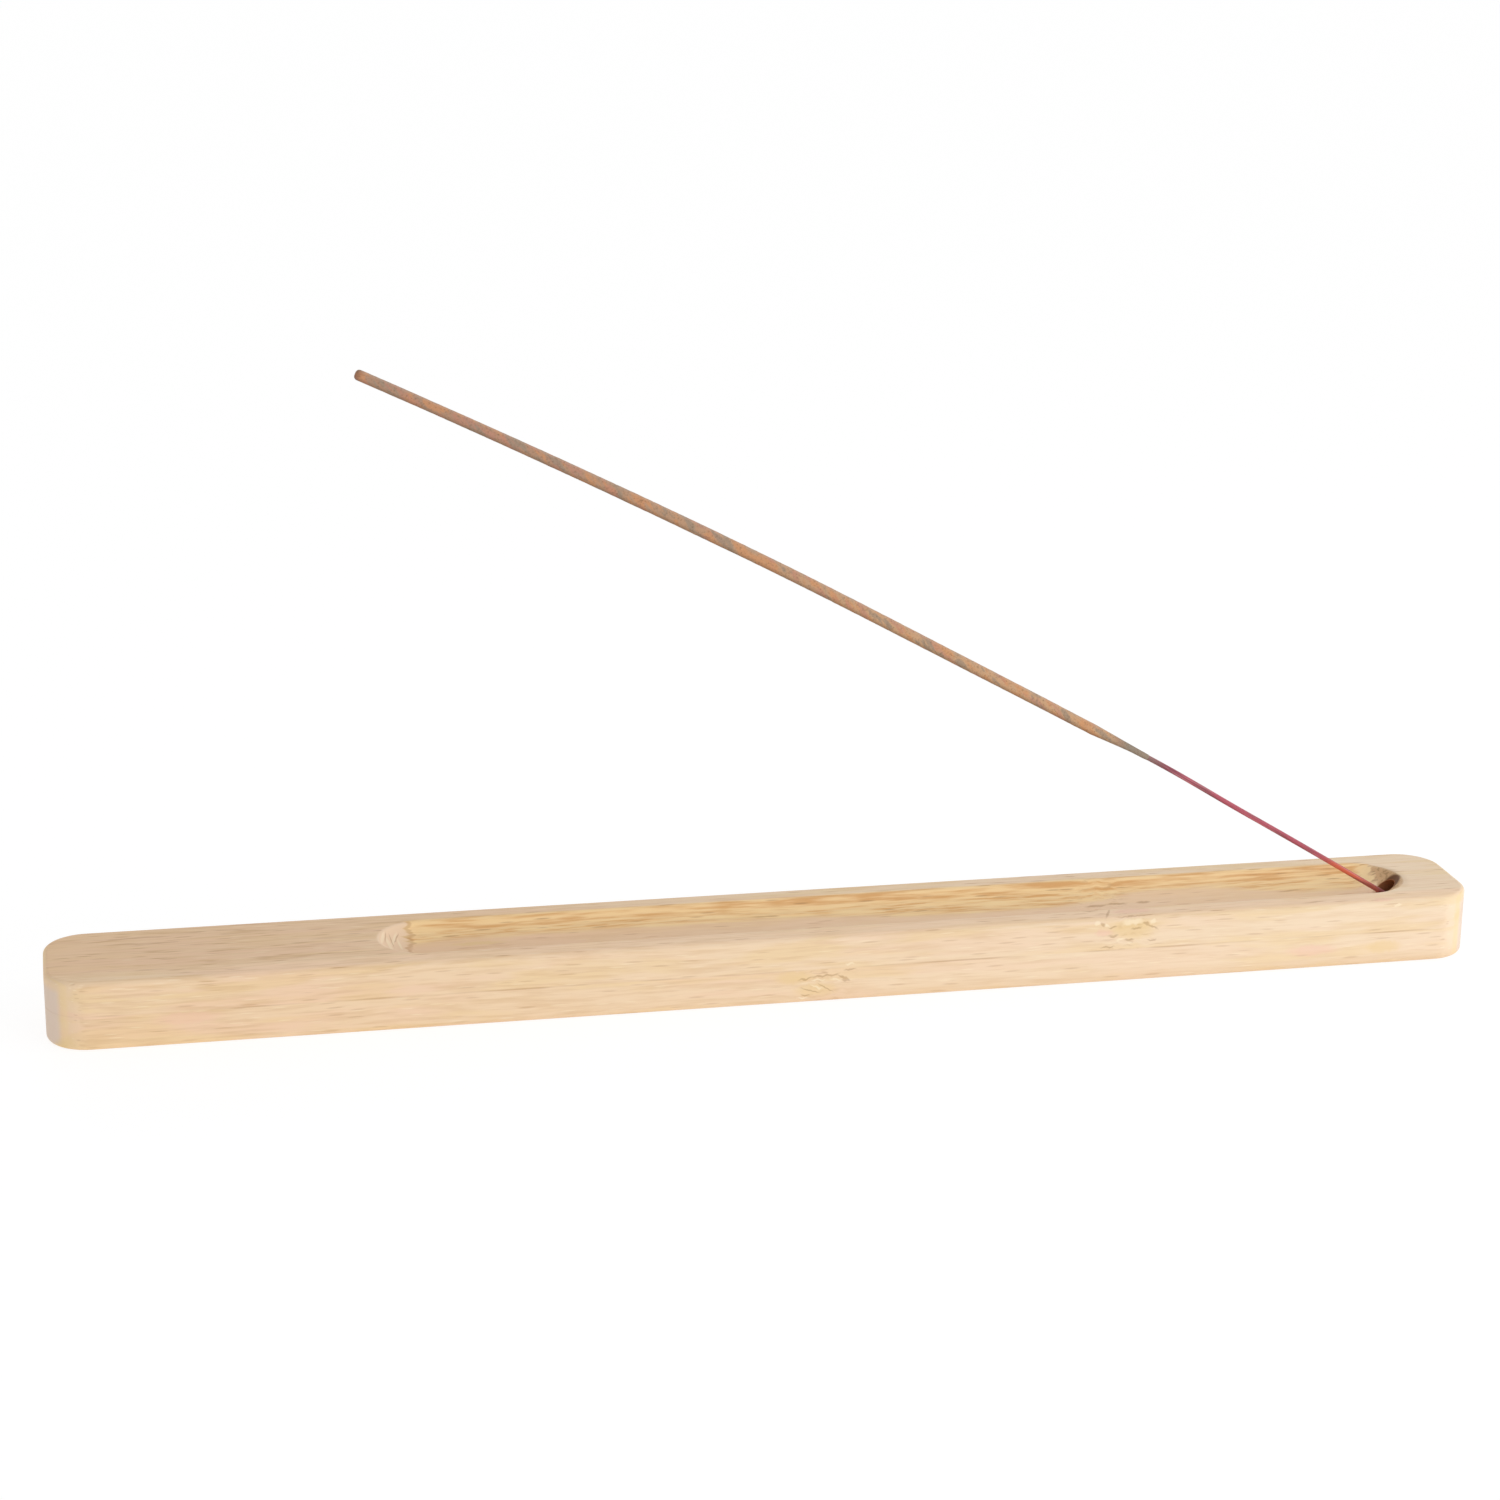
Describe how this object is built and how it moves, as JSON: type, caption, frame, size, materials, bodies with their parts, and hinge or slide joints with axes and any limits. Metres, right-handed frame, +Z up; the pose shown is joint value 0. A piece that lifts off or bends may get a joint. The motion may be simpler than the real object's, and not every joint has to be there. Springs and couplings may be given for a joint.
{
  "type": "incense stick holder",
  "caption": "Long flat bamboo bar with a round-bottomed ash groove and a slanted hole that holds a lit incense stick over the groove.",
  "frame": {"origin": "middle of the bar's underside, on the surface that it stands on", "axes": "+X along the bar towards the stick hole, +Y across the bar, +Z up"},
  "size_m": [0.26, 0.025, 0.1142],
  "materials": {
    "bamboo": "sanded, thin clear oil, satin",
    "dyed_bamboo": "raw split bamboo, dyed red, matt",
    "incense_paste": "dried powder paste, matt and slightly grainy"
  },
  "bodies": {
    "holder": {"lower_strip": "bamboo", "upper_strip": "bamboo"},
    "stick": {"stick_core": "dyed_bamboo", "incense_coat": "incense_paste"}
  },
  "joints": [
    {"name": "stick_pull", "type": "slide", "parent": "holder", "child": "stick", "axis": [-0.8499, 0, 0.527], "range_m": [0, 0.03]}
  ]
}
